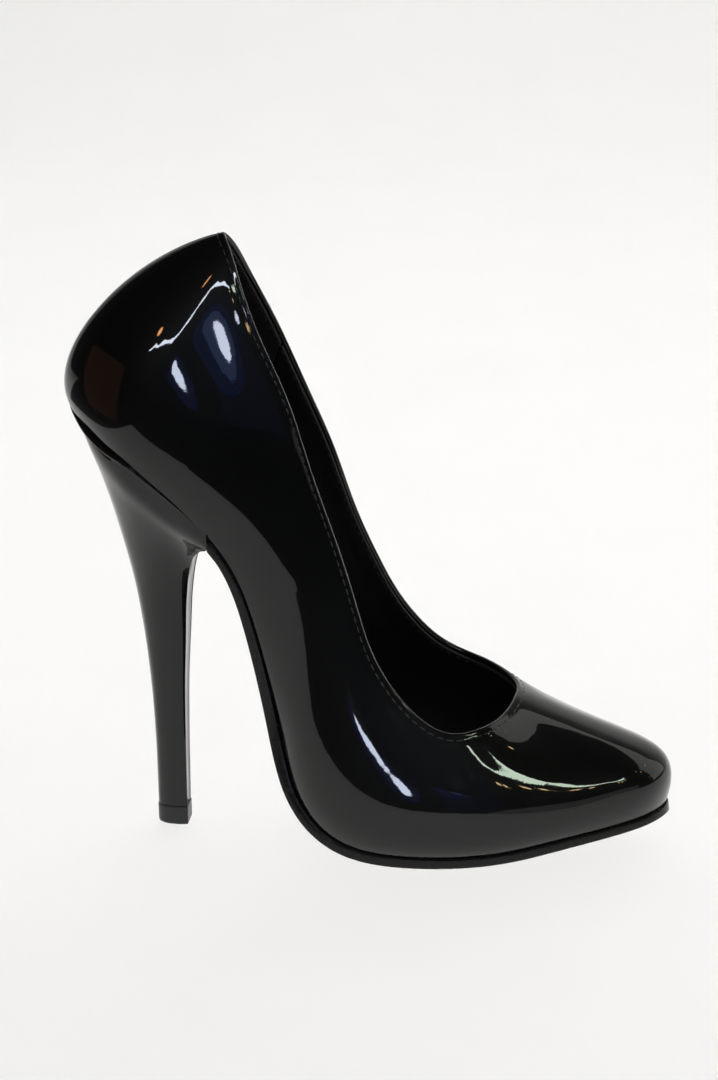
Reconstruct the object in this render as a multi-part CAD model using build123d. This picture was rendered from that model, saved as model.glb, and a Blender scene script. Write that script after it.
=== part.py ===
from build123d import *
import os

import numpy as np

# A high-heeled court shoe for the right foot, built on its last the way a bench would build it.
# Millimetres. The toe points along +X, the inner (medial) side is +Y, +Z is up, and the origin is
# on the floor under the middle of the shoe's bounding box.

os.makedirs("parts", exist_ok=True)

# Stations from the back seam to the toe tip, where the upper meets the sole:
# x, z, half width on the outer (lateral) side, half width on the inner (medial) side.
FEATHER_LINE = [
    (-91.6, 138.0, 0.0, 0.0),
    (-84.2, 131.9, 11.0, 11.0),
    (-71.6, 124.2, 19.5, 19.5),
    (-53.8, 110.1, 22.5, 22.3),
    (-41.0, 94.6, 21.6, 21.0),
    (-33.5, 75.6, 20.8, 19.5),
    (-28.9, 56.5, 20.6, 18.8),
    (-24.8, 37.3, 22.2, 20.0),
    (-19.4, 20.8, 27.0, 24.5),
    (-4.2, 8.1, 33.0, 31.5),
    (19.1, 5.6, 35.0, 34.5),
    (42.7, 6.3, 31.0, 32.0),
    (61.8, 9.0, 24.0, 26.0),
    (77.2, 10.8, 16.0, 18.0),
    (87.2, 12.3, 8.8, 10.0),
    (91.3, 13.0, 0.0, 0.0),
]

# The same stations on the topline, the edge of the foot opening: x, z and half width on the outer
# side, then on the inner side, which is cut a little higher beside the instep.
TOPLINE = [
    (-42.2, 190.3, 0.0, -42.2, 190.3, 0.0),
    (-39.8, 186.6, 4.8, -40.1, 187.0, 4.1),
    (-35.8, 176.7, 9.9, -36.0, 176.4, 9.8),
    (-29.0, 160.0, 13.9, -29.2, 160.9, 13.5),
    (-21.6, 143.8, 16.1, -20.2, 138.3, 16.8),
    (-14.5, 122.2, 18.3, -12.5, 118.7, 18.4),
    (-7.4, 101.8, 20.2, -6.4, 99.1, 20.5),
    (-1.3, 83.0, 22.8, 0.4, 81.9, 22.8),
    (4.7, 66.3, 25.4, 6.7, 69.1, 25.0),
    (15.9, 51.0, 27.6, 17.1, 56.1, 27.2),
    (26.7, 44.4, 28.0, 26.3, 50.6, 27.4),
    (35.4, 44.6, 24.6, 34.4, 49.4, 22.0),
    (40.8, 45.5, 17.8, 39.8, 48.9, 15.6),
    (43.8, 46.8, 9.8, 43.2, 48.7, 9.7),
    (44.9, 47.9, 4.5, 44.8, 48.5, 4.9),
    (45.3, 48.4, 0.0, 45.3, 48.4, 0.0),
]

# How the wall bows out between the two lines at each station, as shares of the straight distance
# between them: reach and bow of the lower handle, reach and bow of the upper handle.
WALL_HANDLES = [
    (0.12, 0.215, 0.65, 0.23),
    (0.14, 0.20, 0.66, 0.185),
    (0.20, 0.175, 0.7, 0.13),
    (0.25, 0.15, 0.72, 0.1),
    (0.27, 0.13, 0.74, 0.09),
    (0.28, 0.13, 0.74, 0.09),
    (0.28, 0.14, 0.74, 0.09),
    (0.27, 0.16, 0.72, 0.1),
    (0.25, 0.18, 0.7, 0.11),
    (0.22, 0.20, 0.66, 0.13),
    (0.20, 0.22, 0.62, 0.15),
    (0.18, 0.24, 0.58, 0.16),
    (0.17, 0.26, 0.5, 0.155),
    (0.16, 0.3, 0.4, 0.145),
    (0.14, 0.34, 0.3, 0.14),
    (0.14, 0.36, 0.28, 0.14),
]

TOE = len(FEATHER_LINE) - 1  # station number of the toe tip; the back seam is station 0
AROUND = 2 * TOE  # stations run out along the outer side and back along the inner side

# Layers of the wall, measured inwards from its outer face.
UPPER = (0.0, 1.0)
BACKING = (1.05, 1.65)
LINING = (1.7, 2.5)
INSIDE = 2.6

# Layers of the bottom, measured up from the sole's top face.
MARGIN = (0.05, 1.05)
SHANK_BOARD = (1.1, 2.2)
INSOLE = (2.25, 3.6)
FOAM = (3.65, 4.6)
SOCK = (4.65, 5.4)
SHANK = (0.15, 1.65)
MARGIN_WIDTH = 9.0
WALL_FOOT = 1.25  # the linings stop just above the lasting margin

SOLE_GAP = 0.05
SOLE_LIP = 0.5
HEEL_FRONT = 3.5  # station where the sole ends and the heel seat begins
SOLE_END = -46.2  # x of the sole's back end, which stands against the heel's breast
HEEL_RIM = 0.5  # how far the heel stands out past the upper round the seat
SEAT_PLANE = ((-93.0, 141.5), (-46.0, 106.0))  # x, z at the back and the front

# Heel below the seat, from the seat down to the top piece: back edge x, z, breast edge x, z, half
# width of the breast, largest half width.
HEEL_STEM = [
    (-86.1, 126.5, -47.0, 96.6, 20.0, 20.5),
    (-82.6, 117.0, -49.6, 94.6, 15.5, 17.5),
    (-79.3, 106.5, -52.3, 91.3, 11.5, 14.5),
    (-76.2, 94.8, -54.3, 85.5, 8.3, 11.5),
    (-73.0, 81.0, -55.6, 76.5, 6.2, 8.6),
    (-70.6, 65.5, -56.4, 63.0, 5.0, 6.6),
    (-68.8, 47.5, -57.3, 47.0, 4.2, 5.2),
    (-67.9, 29.5, -57.7, 29.5, 3.8, 4.5),
    (-67.6, 6.2, -57.9, 6.2, 3.5, 4.0),
]
COVER = 0.7
TOP_PIECE_HEIGHT = 6.1
TUBE_FOOT = (-62.6, 0.0, 6.3)
TUBE_LEAN = (-2.2, 0.0, 66.0)
TUBE_LENGTH = 66.0
TUBE_RADIUS = 1.9
TUBE_BORE = 1.1

SEAT_STATION = 2.0  # the heel screw goes in here
SCREW_LENGTH = 17.0
NAIL_LENGTH = 11.0
NAIL_SIDE = 7.1  # the nails stand this far to either side of the middle


def unit(vector):
    return vector / np.linalg.norm(vector)


def closed_spline(knots, points):
    """A smooth closed curve through the points, with the second derivatives solved for."""
    count = len(points)
    step = np.diff(knots)
    system = np.zeros((count, count))
    right = np.zeros((count, points.shape[1]))
    for i in range(count):
        before, after, following = step[i - 1], step[i], (i + 1) % count
        system[i, i - 1] += before
        system[i, i] += 2 * (before + after)
        system[i, following] += after
        rise = (points[following] - points[i]) / after
        right[i] = 6 * (rise - (points[i] - points[i - 1]) / before)
    bend = np.linalg.solve(system, right)

    def curve(u):
        u = float(u) % knots[-1]
        i = min(int(np.searchsorted(knots, u, side="right")) - 1, count - 1)
        j = (i + 1) % count
        h, a, b = step[i], knots[i + 1] - u, u - knots[i]
        bent = (bend[i] * a**3 + bend[j] * b**3) / (6 * h)
        return bent + (points[i] / h - bend[i] * h / 6) * a + (points[j] / h - bend[j] * h / 6) * b

    return curve


def rails():
    """The four closed curves that carry the wall: feather line, two handles and topline."""
    low, high, handle = [], [], []
    for k in range(AROUND):
        row = min(k, AROUND - k)
        x, z, outer, inner = FEATHER_LINE[row]
        top = TOPLINE[row][:3] if k <= TOE else TOPLINE[row][3:]
        side = -1 if k <= TOE else 1
        low.append((x, side * (outer if k <= TOE else inner), z))
        high.append((top[0], side * top[2], top[1]))
        handle.append(WALL_HANDLES[row])
    low, high, handle = np.array(low), np.array(high), np.array(handle)
    rise = high - low
    along_low = np.roll(low, -1, 0) - np.roll(low, 1, 0)
    along_high = np.roll(high, -1, 0) - np.roll(high, 1, 0)
    along = np.array([unit(a) + unit(b) for a, b in zip(along_low, along_high)])
    out = np.array([unit(v) * np.linalg.norm(r) for v, r in zip(np.cross(along, rise), rise)])
    lower = low + handle[:, 0:1] * rise + handle[:, 1:2] * out
    upper = low + handle[:, 2:3] * rise + handle[:, 3:4] * out
    stride = [np.linalg.norm(np.roll(line, -1, 0) - line, axis=1) for line in (low, high)]
    knots = np.concatenate([[0.0], np.cumsum(stride[0] + stride[1])])
    knots = knots / knots[-1]
    return knots, [closed_spline(knots, line) for line in (low, lower, upper, high)]


KNOTS, RAILS = rails()


def place(station):
    """Position round the shoe, 0 to 1, of a station number that may have a fraction."""
    return np.interp(station % AROUND, range(AROUND + 1), KNOTS)


def skin(u, v):
    """Points of the outer face at one place round the shoe, from the feather line up."""
    v = np.asarray(v, dtype=float)[:, None]
    low, lower, upper, high = (rail(u) for rail in RAILS)
    return (1 - v) ** 3 * low + 3 * v * (1 - v) ** 2 * lower + 3 * v * v * (1 - v) * upper + v**3 * high


def wall(u, v, depth):
    """Points at a depth inside the outer face."""
    v = np.asarray(v, dtype=float)
    step = 1e-3
    round_it = skin(u + step, v) - skin(u - step, v)
    up_it = skin(u, v + step) - skin(u, v - step)
    normal = np.cross(round_it, up_it)
    normal /= np.linalg.norm(normal, axis=1)[:, None]
    return skin(u, v) - depth * normal


def spine(station):
    """Middle of the bottom between the two sides at a station from the back to the toe."""
    return (RAILS[0](place(station)) + RAILS[0](place(AROUND - station))) / 2


def floor_normal(station):
    """Direction out of the bottom face towards the foot."""
    station = station if station <= TOE else AROUND - station
    run = spine(min(station + 0.35, TOE)) - spine(max(station - 0.35, 0.0))
    return unit(np.array([-run[2], 0.0, run[0]]))


def inwards(station):
    """Direction in the bottom face from the feather line towards the middle."""
    u = place(station)
    along = RAILS[0](u + 1e-3) - RAILS[0](u - 1e-3)
    return unit(np.cross(floor_normal(station), along))


def wall_start(station, depth, height):
    """How far up the wall a point is that stands at a height over the bottom face."""
    u = place(station)
    v = np.linspace(0, 0.5, 60)
    rise = (wall(u, v, depth) - RAILS[0](u)) @ floor_normal(station)
    return float(np.interp(height, rise, v))


def rim(station, depth, height, inset=0.0):
    """Point that follows the wall at a depth, at a height over or under the bottom face."""
    u = place(station)
    normal = floor_normal(station)
    point = wall(u, [wall_start(station, depth, height)], depth)[0]
    over = (point - RAILS[0](u)) @ normal
    return point + (height - over) * normal + inset * inwards(station)


def straight(a, b):
    return Edge.make_line(Vector(*a), Vector(*b))


def path(points):
    """A straight edge through two points, a smooth one through more."""
    if len(points) == 2:
        return straight(*points)
    return Edge.make_spline([Vector(*p) for p in points])


def section_wire(rungs):
    """Outline of a section given as pairs of facing lines, each pair starting where the last ended."""
    edges = [path(a) for a, b in rungs]
    edges.append(straight(rungs[-1][0][-1], rungs[-1][1][-1]))
    edges += [path(b[::-1]) for a, b in reversed(rungs)]
    edges.append(straight(rungs[0][1][0], rungs[0][0][0]))
    return Wire(edges)


def loft(sections, ruled=False):
    """A solid through the sections, closed at both ends by ruled faces."""
    sides = Shell.make_loft([section_wire(rungs) for rungs in sections], ruled)
    ends = [pair for rungs in (sections[0], sections[-1]) for pair in rungs]
    caps = [Face.make_surface_from_curves(path(a), path(b)) for a, b in ends]
    solid = Solid(Shell([*sides.faces(), *caps]))
    return solid if solid.volume > 0 else Solid(solid.wrapped.Reversed())


def stations(start, end, step=0.5):
    """Station numbers from start to end, with the whole and half stations between them."""
    inner = np.arange(np.ceil(start / step) * step, end, step)
    inner = [k for k in inner if k - start > 0.2 * step and end - k > 0.2 * step]
    return [start, *inner, end]


def sheet(start, end, layer, foot=None, head=0.985):
    """A layer of the wall between two stations; foot and head are shares of the wall's height."""
    sections = []
    for k in stations(start, end):
        low = wall_start(k, layer[0], WALL_FOOT) if foot is None else foot
        v = np.linspace(low, head, 8)
        sections.append([(wall(place(k), v, layer[0]), wall(place(k), v, layer[1]))])
    return loft(sections)


def margin_width(k):
    """Width of the lasting margin, which is trimmed narrow where it turns round the two ends."""
    return float(np.interp(k % AROUND, [0, 1.5, 13.5, 15, 16.5, 28.5, 30], [3, 9, 9, 3, 9, 9, 3]))


def make_upper():
    """Patent leather in one piece, open at the back seam, with its lasting margin turned under."""
    sections = []
    for k in stations(0.02, AROUND - 0.02):
        u = place(k)
        normal, inward = floor_normal(k), inwards(k)
        edge = RAILS[0](u)
        outer = wall(u, np.linspace(1, 0, 9), UPPER[0])
        outer[-1] = edge + MARGIN[0] * normal
        inner = wall(u, np.linspace(1, wall_start(k, UPPER[1], MARGIN[1] + 0.1), 9), UPPER[1])
        under = edge + margin_width(k) * inward + MARGIN[0] * normal
        over = edge + margin_width(k) * inward + MARGIN[1] * normal
        sections.append([(outer, inner), ([outer[-1], under], [inner[-1], over])])
    return loft(sections)


def plate(start, end, low, high, depth=INSIDE, inset=0.0, bow=None):
    """A layer of the bottom between two stations, its edges following the wall."""
    sections = []
    for k in stations(start, end):
        bottom, top = ([rim(j, depth, height(k), inset) for j in (k, AROUND - k)] for height in (low, high))
        if bow is not None:
            bottom.insert(1, (bottom[0] + bottom[1]) / 2 - bow(k) * floor_normal(k))
        sections.append([(bottom, top)])
    return loft(sections)


def level(height):
    return lambda k: height


def strip(start, end, half_width, low, high):
    """A strip of even width down the middle of the bottom."""
    sections = []
    for k in stations(start, end):
        sides = [spine(k) + np.array([0.0, y, 0.0]) for y in (-half_width, half_width)]
        sections.append([[[p + height * floor_normal(k) for p in sides] for height in (low, high)]])
    return loft(sections)


def board_ramp(k):
    """Underside of the insole board, which steps down over the skived end of the shank board."""
    return float(np.interp(k, [8.3, 9.2], [INSOLE[0], SHANK_BOARD[0]]))


def board_skive(k):
    """Upper side of the shank board, skived to a thin edge behind the ball."""
    return float(np.interp(k, [8.3, 9.15], [SHANK_BOARD[1], SHANK_BOARD[0] + 0.1]))


def sole_edge(k):
    """Thickness of the sole at its edge."""
    return -float(np.interp(k, [3.5, 4, 5.5, 7, 8, 10, 13, 15], [3.3, 2.9, 3.4, 3.8, 3.6, 3.3, 3.0, 2.9]))


def sole_bow(k):
    """How much thicker the sole is along its middle than at its edge."""
    return float(np.interp(k, [3.5, 7, 8.5, 10, 12, 15], [0.3, 0.5, 1.2, 2.5, 1.2, 0.3]))


def make_outsole():
    raw = plate(HEEL_FRONT - 0.1, TOE - 0.05, sole_edge, level(-SOLE_GAP), -SOLE_LIP, 0.0, sole_bow)
    under_floor = Pos(0, 0, -10) * Box(400, 200, 20)
    behind_breast = Pos(SOLE_END - 50, 0, 100) * Box(100, 200, 100)
    return raw - under_floor - behind_breast


def seat_outline():
    """Heel outline at the seat, from the outer breast corner round the back, on a plane just over it."""
    (back_x, back_z), (front_x, front_z) = SEAT_PLANE
    points = []
    for k in np.linspace(HEEL_FRONT, -HEEL_FRONT, 11):
        point = rim(k % AROUND, -HEEL_RIM, 0.0)
        share = (point[0] - back_x) / (front_x - back_x)
        point[2] = back_z + share * (front_z - back_z)
        points.append(point)
    return np.array(points)


def stem_outline(back_x, back_z, front_x, front_z, breast, widest):
    """Heel outline lower down: a flat breast, then swelling sides and a rounded back."""
    half = []
    turn = 0.35
    for share in (0.0, 0.17):
        width = breast + (widest - breast) * np.sin(np.pi / 2 * share / turn)
        half.append((share, width))
    for angle in np.radians([0, 32, 60]):
        half.append((turn + (1 - turn) * np.sin(angle), widest * np.cos(angle)))
    front, back = np.array([front_x, 0, front_z]), np.array([back_x, 0, back_z])
    outer = [front + (back - front) * s - np.array([0, w, 0]) for s, w in half]
    inner = [p * np.array([1, -1, 1]) for p in outer[::-1]]
    return np.array([*outer, back, *inner])


def heel_outlines(between=3):
    """Outlines from the seat down, with some added on smooth curves between the given ones."""
    rows = np.array([seat_outline()] + [stem_outline(*row) for row in HEEL_STEM])
    gaps = np.linalg.norm(np.diff(rows, axis=0), axis=2).mean(axis=1)
    down = np.concatenate([[0.0], np.cumsum(gaps)])
    slope = np.gradient(rows, down, axis=0)
    outlines = []
    for i, gap in enumerate(gaps):
        for t in np.arange(between) / between:
            held = (1 + 2 * t) * (1 - t) ** 2 * rows[i] + t * t * (3 - 2 * t) * rows[i + 1]
            turned = t * (1 - t) ** 2 * slope[i] - t * t * (1 - t) * slope[i + 1]
            outlines.append(held + gap * turned)
    return outlines + [rows[-1]]


def over_the_seat():
    """Everything over the face the heel is fixed to, as a block to trim the heel with."""
    level_line = np.array([1.0, 0.0, 1.0])
    seat = [(spine(k) - SOLE_GAP * floor_normal(k)) * level_line for k in np.arange(0, 6.5, 0.5)]
    corners = [seat[-1], (seat[-1][0], 0, 200), (-110, 0, 200), (-110, 0, seat[0][2] + 12), seat[0]]
    edges = [path(seat)] + [straight(a, b) for a, b in zip(corners, corners[1:])]
    return Solid.extrude(Face(Wire(edges)).moved(Location((0, -50, 0))), Vector(0, 100, 0))


def shrink(outline, inset, breast_inset=0.0):
    """The outline moved inwards in its own plane, and its breast moved back."""
    front = (outline[0] + outline[-1]) / 2
    back = outline[len(outline) // 2]
    rearward = unit(back - front)
    facing = unit(np.cross(rearward, [0.0, 1.0, 0.0]))
    along = np.gradient(outline, axis=0)
    inner = np.array([p + inset * unit(np.cross(facing, t)) for p, t in zip(outline, along)])
    # the two corners stay on the breast's plane
    for end in (0, -1):
        inner[end] += rearward * ((outline[end] - inner[end]) @ rearward)
    count = np.arange(len(inner))
    blend = np.clip(1 - np.minimum(count, count[::-1]) / 2, 0, 1)
    return inner + breast_inset * blend[:, None] * rearward


def closed_section(outline):
    return Wire([path(outline), straight(outline[-1], outline[0])])


def make_heel_core():
    inset = COVER + 0.05
    wires = [closed_section(shrink(line, inset, inset)) for line in heel_outlines()]
    return Solid.make_loft(wires, ruled=True) - over_the_seat()


def make_heel_cover():
    sections = [[(outer, shrink(outer, COVER))] for outer in heel_outlines()]
    return loft(sections, ruled=True) - over_the_seat()


def make_breast_cover():
    sections = []
    for outline in heel_outlines():
        corners = shrink(outline, COVER + 0.05)[[0, -1]]
        rearward = unit(outline[len(outline) // 2] - (outline[0] + outline[-1]) / 2)
        sections.append([(corners, corners + (COVER - 0.02) * rearward)])
    return loft(sections, ruled=True) - over_the_seat()


def rod(foot, direction, radius, length):
    plane = Plane(origin=Vector(*foot), z_dir=Vector(*direction))
    return Solid.make_cylinder(radius, length, plane)


def make_top_piece():
    outline = shrink(stem_outline(*HEEL_STEM[-1]), -0.15)
    outline[:, 2] = 0.0
    face = Face(closed_section(outline))
    block = Solid.extrude(face, Vector(0, 0, TOP_PIECE_HEIGHT))
    return block - make_top_piece_pin()


def make_top_piece_pin():
    down = unit(np.array(TUBE_LEAN))
    return rod(np.array(TUBE_FOOT) - 4.0 * down, TUBE_LEAN, TUBE_BORE, 16.0)


def make_heel_tube():
    return rod(TUBE_FOOT, TUBE_LEAN, TUBE_RADIUS, TUBE_LENGTH) - rod(
        TUBE_FOOT, TUBE_LEAN, TUBE_BORE, TUBE_LENGTH
    )


def seat_fixing(station, sideways, radius, head_radius, head, length):
    """A screw or nail with its head let into the insole board, driven down into the heel."""
    normal = floor_normal(station)
    down = unit(np.array([0.0, 0.0, -1.0]) - normal)
    top = spine(station) + np.array([0.0, sideways, 0.0]) + (INSOLE[1] - 0.25) * normal
    return rod(top, -normal, head_radius, head) + rod(top + 0.75 * down, down, radius, length)


def make_heel_screw():
    return seat_fixing(SEAT_STATION, 0.0, 2.0, 3.6, 1.2, SCREW_LENGTH)


def make_heel_nails():
    spots = [(1.9, NAIL_SIDE), (1.9, -NAIL_SIDE), (2.8, NAIL_SIDE), (2.8, -NAIL_SIDE)]
    nails = [seat_fixing(k, y, 0.8, 1.8, 1.0, NAIL_LENGTH) for k, y in spots]
    return Compound(children=nails)


def make_shank_rivets():
    rivets = []
    for k in (4.5, 7.7):
        normal = floor_normal(k)
        foot = spine(k) + (SHANK[0] + 0.05) * normal
        shaft = rod(foot, normal, 1.2, 1.9)
        head = rod(foot + 1.35 * normal, normal, 2.2, 0.55)
        rivets.append(shaft + head)
    return Compound(children=rivets)


def build():
    heel_screw, heel_nails, rivets = make_heel_screw(), make_heel_nails(), make_shank_rivets()
    tube = make_heel_tube()
    pin = make_top_piece_pin()
    groove = strip(0.95, 8.35, 6.1, SHANK[0] - 0.1, SHANK[1] + 0.05)
    shank = strip(1.0, 8.3, 6.0, *SHANK) - heel_screw - rivets
    shank_board = plate(0.2, 9.1, level(SHANK_BOARD[0]), board_skive)
    insole = plate(0.15, TOE - 0.12, board_ramp, level(INSOLE[1]))
    core = make_heel_core() - rod(TUBE_FOOT, TUBE_LEAN, TUBE_RADIUS, TUBE_LENGTH)
    puff = (TOE - 2.7, TOE + 2.7)
    counter = 3.4
    return {
        "upper": make_upper(),
        "heel_counter": sheet(-counter, counter, BACKING, head=0.72),
        "toe_puff": sheet(*puff, BACKING, head=0.6),
        "side_backing_lateral": sheet(counter + 0.05, puff[0] - 0.05, BACKING, head=0.95),
        "side_backing_medial": sheet(puff[1] + 0.05, AROUND - counter - 0.05, BACKING, head=0.95),
        "topline_tape": sheet(0.02, AROUND - 0.02, BACKING, foot=0.957),
        "heel_grip": sheet(-3.3, 3.3, LINING),
        "quarter_lining_lateral": sheet(3.35, 7.0, LINING),
        "quarter_lining_medial": sheet(AROUND - 7.0, AROUND - 3.35, LINING),
        "vamp_lining": sheet(7.05, AROUND - 7.05, LINING),
        "insole_board": insole - heel_screw - heel_nails,
        "shank_board": shank_board - groove - heel_screw - heel_nails - rivets,
        "steel_shank": shank,
        "shank_rivets": rivets,
        "sock_foam": plate(0.15, TOE - 0.15, level(FOAM[0]), level(FOAM[1])),
        "sock_lining": plate(0.15, TOE - 0.15, level(SOCK[0]), level(SOCK[1])),
        "bottom_filler": plate(9.0, 12.9, level(0.1), level(1.0), 0.0, MARGIN_WIDTH + 1.0),
        "outsole": make_outsole(),
        "heel_core": core - heel_screw - heel_nails,
        "heel_cover": make_heel_cover(),
        "heel_breast_cover": make_breast_cover(),
        "heel_tube": tube,
        "heel_screw": heel_screw,
        "heel_nails": heel_nails,
        "top_piece": make_top_piece(),
        "top_piece_pin": pin,
    }


for name, shape in build().items():
    export_step(shape, f"parts/{name}.step")
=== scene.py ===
import math

import bpy
import numpy as np
from bpy.props import FloatProperty, FloatVectorProperty, IntProperty, PointerProperty
from bpy.types import Operator, Panel, PropertyGroup
from mathutils import Matrix, Vector


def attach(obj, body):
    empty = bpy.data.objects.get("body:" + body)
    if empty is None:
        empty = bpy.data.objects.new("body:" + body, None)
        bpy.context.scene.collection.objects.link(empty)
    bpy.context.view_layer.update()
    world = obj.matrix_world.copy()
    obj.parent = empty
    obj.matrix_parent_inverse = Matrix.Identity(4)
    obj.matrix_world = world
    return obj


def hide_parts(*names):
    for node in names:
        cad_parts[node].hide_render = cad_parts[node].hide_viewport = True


bl_info = {
    "name": "High heel pump",
    "version": (1, 0, 0),
    "blender": (4, 5, 0),
    "location": "3D View > Sidebar > Pump",
    "description": "Builds a patent court shoe on its CAD frame",
    "category": "Object",
}

MM = 0.001

# --- the last: the same lines as the CAD model's, in millimetres ---------------------------------

# Stations from the back seam to the toe tip, where the upper meets the sole:
# x, z, half width on the outer side, half width on the inner side.
FEATHER_LINE = [
    (-91.6, 138.0, 0.0, 0.0),
    (-84.2, 131.9, 11.0, 11.0),
    (-71.6, 124.2, 19.5, 19.5),
    (-53.8, 110.1, 22.5, 22.3),
    (-41.0, 94.6, 21.6, 21.0),
    (-33.5, 75.6, 20.8, 19.5),
    (-28.9, 56.5, 20.6, 18.8),
    (-24.8, 37.3, 22.2, 20.0),
    (-19.4, 20.8, 27.0, 24.5),
    (-4.2, 8.1, 33.0, 31.5),
    (19.1, 5.6, 35.0, 34.5),
    (42.7, 6.3, 31.0, 32.0),
    (61.8, 9.0, 24.0, 26.0),
    (77.2, 10.8, 16.0, 18.0),
    (87.2, 12.3, 8.8, 10.0),
    (91.3, 13.0, 0.0, 0.0),
]

# The same stations on the topline: x, z, half width on the outer side, then on the inner side.
TOPLINE = [
    (-42.2, 190.3, 0.0, -42.2, 190.3, 0.0),
    (-39.8, 186.6, 4.8, -40.1, 187.0, 4.1),
    (-35.8, 176.7, 9.9, -36.0, 176.4, 9.8),
    (-29.0, 160.0, 13.9, -29.2, 160.9, 13.5),
    (-21.6, 143.8, 16.1, -20.2, 138.3, 16.8),
    (-14.5, 122.2, 18.3, -12.5, 118.7, 18.4),
    (-7.4, 101.8, 20.2, -6.4, 99.1, 20.5),
    (-1.3, 83.0, 22.8, 0.4, 81.9, 22.8),
    (4.7, 66.3, 25.4, 6.7, 69.1, 25.0),
    (15.9, 51.0, 27.6, 17.1, 56.1, 27.2),
    (26.7, 44.4, 28.0, 26.3, 50.6, 27.4),
    (35.4, 44.6, 24.6, 34.4, 49.4, 22.0),
    (40.8, 45.5, 17.8, 39.8, 48.9, 15.6),
    (43.8, 46.8, 9.8, 43.2, 48.7, 9.7),
    (44.9, 47.9, 4.5, 44.8, 48.5, 4.9),
    (45.3, 48.4, 0.0, 45.3, 48.4, 0.0),
]

# Reach and bow of the lower handle, reach and bow of the upper handle, as shares of the height.
WALL_HANDLES = [
    (0.12, 0.215, 0.65, 0.23),
    (0.14, 0.20, 0.66, 0.185),
    (0.20, 0.175, 0.7, 0.13),
    (0.25, 0.15, 0.72, 0.1),
    (0.27, 0.13, 0.74, 0.09),
    (0.28, 0.13, 0.74, 0.09),
    (0.28, 0.14, 0.74, 0.09),
    (0.27, 0.16, 0.72, 0.1),
    (0.25, 0.18, 0.7, 0.11),
    (0.22, 0.20, 0.66, 0.13),
    (0.20, 0.22, 0.62, 0.15),
    (0.18, 0.24, 0.58, 0.16),
    (0.17, 0.26, 0.5, 0.155),
    (0.16, 0.3, 0.4, 0.145),
    (0.14, 0.34, 0.3, 0.14),
    (0.14, 0.36, 0.28, 0.14),
]

TOE = 15  # station of the toe tip; the back seam is station 0
AROUND = 30  # stations run out along the outer side and back along the inner side
INSIDE = 2.6
HEEL_FRONT = 3.5
HEEL_RIM = 0.5
SOLE_END = -46.25
SEAT_PLANE = ((-93.0, 141.5), (-46.0, 106.0))

# Heel from the seat down: back edge x, z, breast edge x, z, half width of the breast, largest one.
HEEL_STEM = [
    (-86.1, 126.5, -47.0, 96.6, 20.0, 20.5),
    (-82.6, 117.0, -49.6, 94.6, 15.5, 17.5),
    (-79.3, 106.5, -52.3, 91.3, 11.5, 14.5),
    (-76.2, 94.8, -54.3, 85.5, 8.3, 11.5),
    (-73.0, 81.0, -55.6, 76.5, 6.2, 8.6),
    (-70.6, 65.5, -56.4, 63.0, 5.0, 6.6),
    (-68.8, 47.5, -57.3, 47.0, 4.2, 5.2),
    (-67.9, 29.5, -57.7, 29.5, 3.8, 4.5),
    (-67.6, 6.2, -57.9, 6.2, 3.5, 4.0),
]


def unit(v):
    v = np.asarray(v, float)
    return v / np.maximum(np.linalg.norm(v, axis=-1, keepdims=True), 1e-12)


def closed_spline(knots, points):
    """A smooth closed curve through the points, with the second derivatives solved for."""
    count = len(points)
    step = np.diff(knots)
    system = np.zeros((count, count))
    right = np.zeros((count, points.shape[1]))
    for i in range(count):
        before, after, following = step[i - 1], step[i], (i + 1) % count
        system[i, i - 1] += before
        system[i, i] += 2 * (before + after)
        system[i, following] += after
        rise = (points[following] - points[i]) / after
        right[i] = 6 * (rise - (points[i] - points[i - 1]) / before)
    bend = np.linalg.solve(system, right)

    def curve(u):
        u = float(u) % knots[-1]
        i = min(int(np.searchsorted(knots, u, side="right")) - 1, count - 1)
        j = (i + 1) % count
        h, a, b = step[i], knots[i + 1] - u, u - knots[i]
        bent = (bend[i] * a**3 + bend[j] * b**3) / (6 * h)
        return bent + (points[i] / h - bend[i] * h / 6) * a + (points[j] / h - bend[j] * h / 6) * b

    return curve


def rails():
    """The four closed curves that carry the wall: feather line, two handles and topline."""
    low, high, handle = [], [], []
    for k in range(AROUND):
        row = min(k, AROUND - k)
        x, z, outer, inner = FEATHER_LINE[row]
        top = TOPLINE[row][:3] if k <= TOE else TOPLINE[row][3:]
        side = -1 if k <= TOE else 1
        low.append((x, side * (outer if k <= TOE else inner), z))
        high.append((top[0], side * top[2], top[1]))
        handle.append(WALL_HANDLES[row])
    low, high, handle = np.array(low), np.array(high), np.array(handle)
    rise = high - low
    along_low = np.roll(low, -1, 0) - np.roll(low, 1, 0)
    along_high = np.roll(high, -1, 0) - np.roll(high, 1, 0)
    along = unit(along_low) + unit(along_high)
    out = unit(np.cross(along, rise)) * np.linalg.norm(rise, axis=1)[:, None]
    lower = low + handle[:, 0:1] * rise + handle[:, 1:2] * out
    upper = low + handle[:, 2:3] * rise + handle[:, 3:4] * out
    stride = [np.linalg.norm(np.roll(line, -1, 0) - line, axis=1) for line in (low, high)]
    knots = np.concatenate([[0.0], np.cumsum(stride[0] + stride[1])])
    knots = knots / knots[-1]
    return knots, [closed_spline(knots, line) for line in (low, lower, upper, high)]


KNOTS, RAILS = rails()


def place(station):
    """Position round the shoe, 0 to 1, of a station number that may have a fraction."""
    return np.interp(station % AROUND, range(AROUND + 1), KNOTS)


def skin(u, v):
    """Points of the outer face at one place round the shoe, from the feather line up."""
    v = np.asarray(v, dtype=float)[:, None]
    low, lower, upper, high = (rail(u) for rail in RAILS)
    return (1 - v) ** 3 * low + 3 * v * (1 - v) ** 2 * lower + 3 * v * v * (1 - v) * upper + v**3 * high


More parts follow.
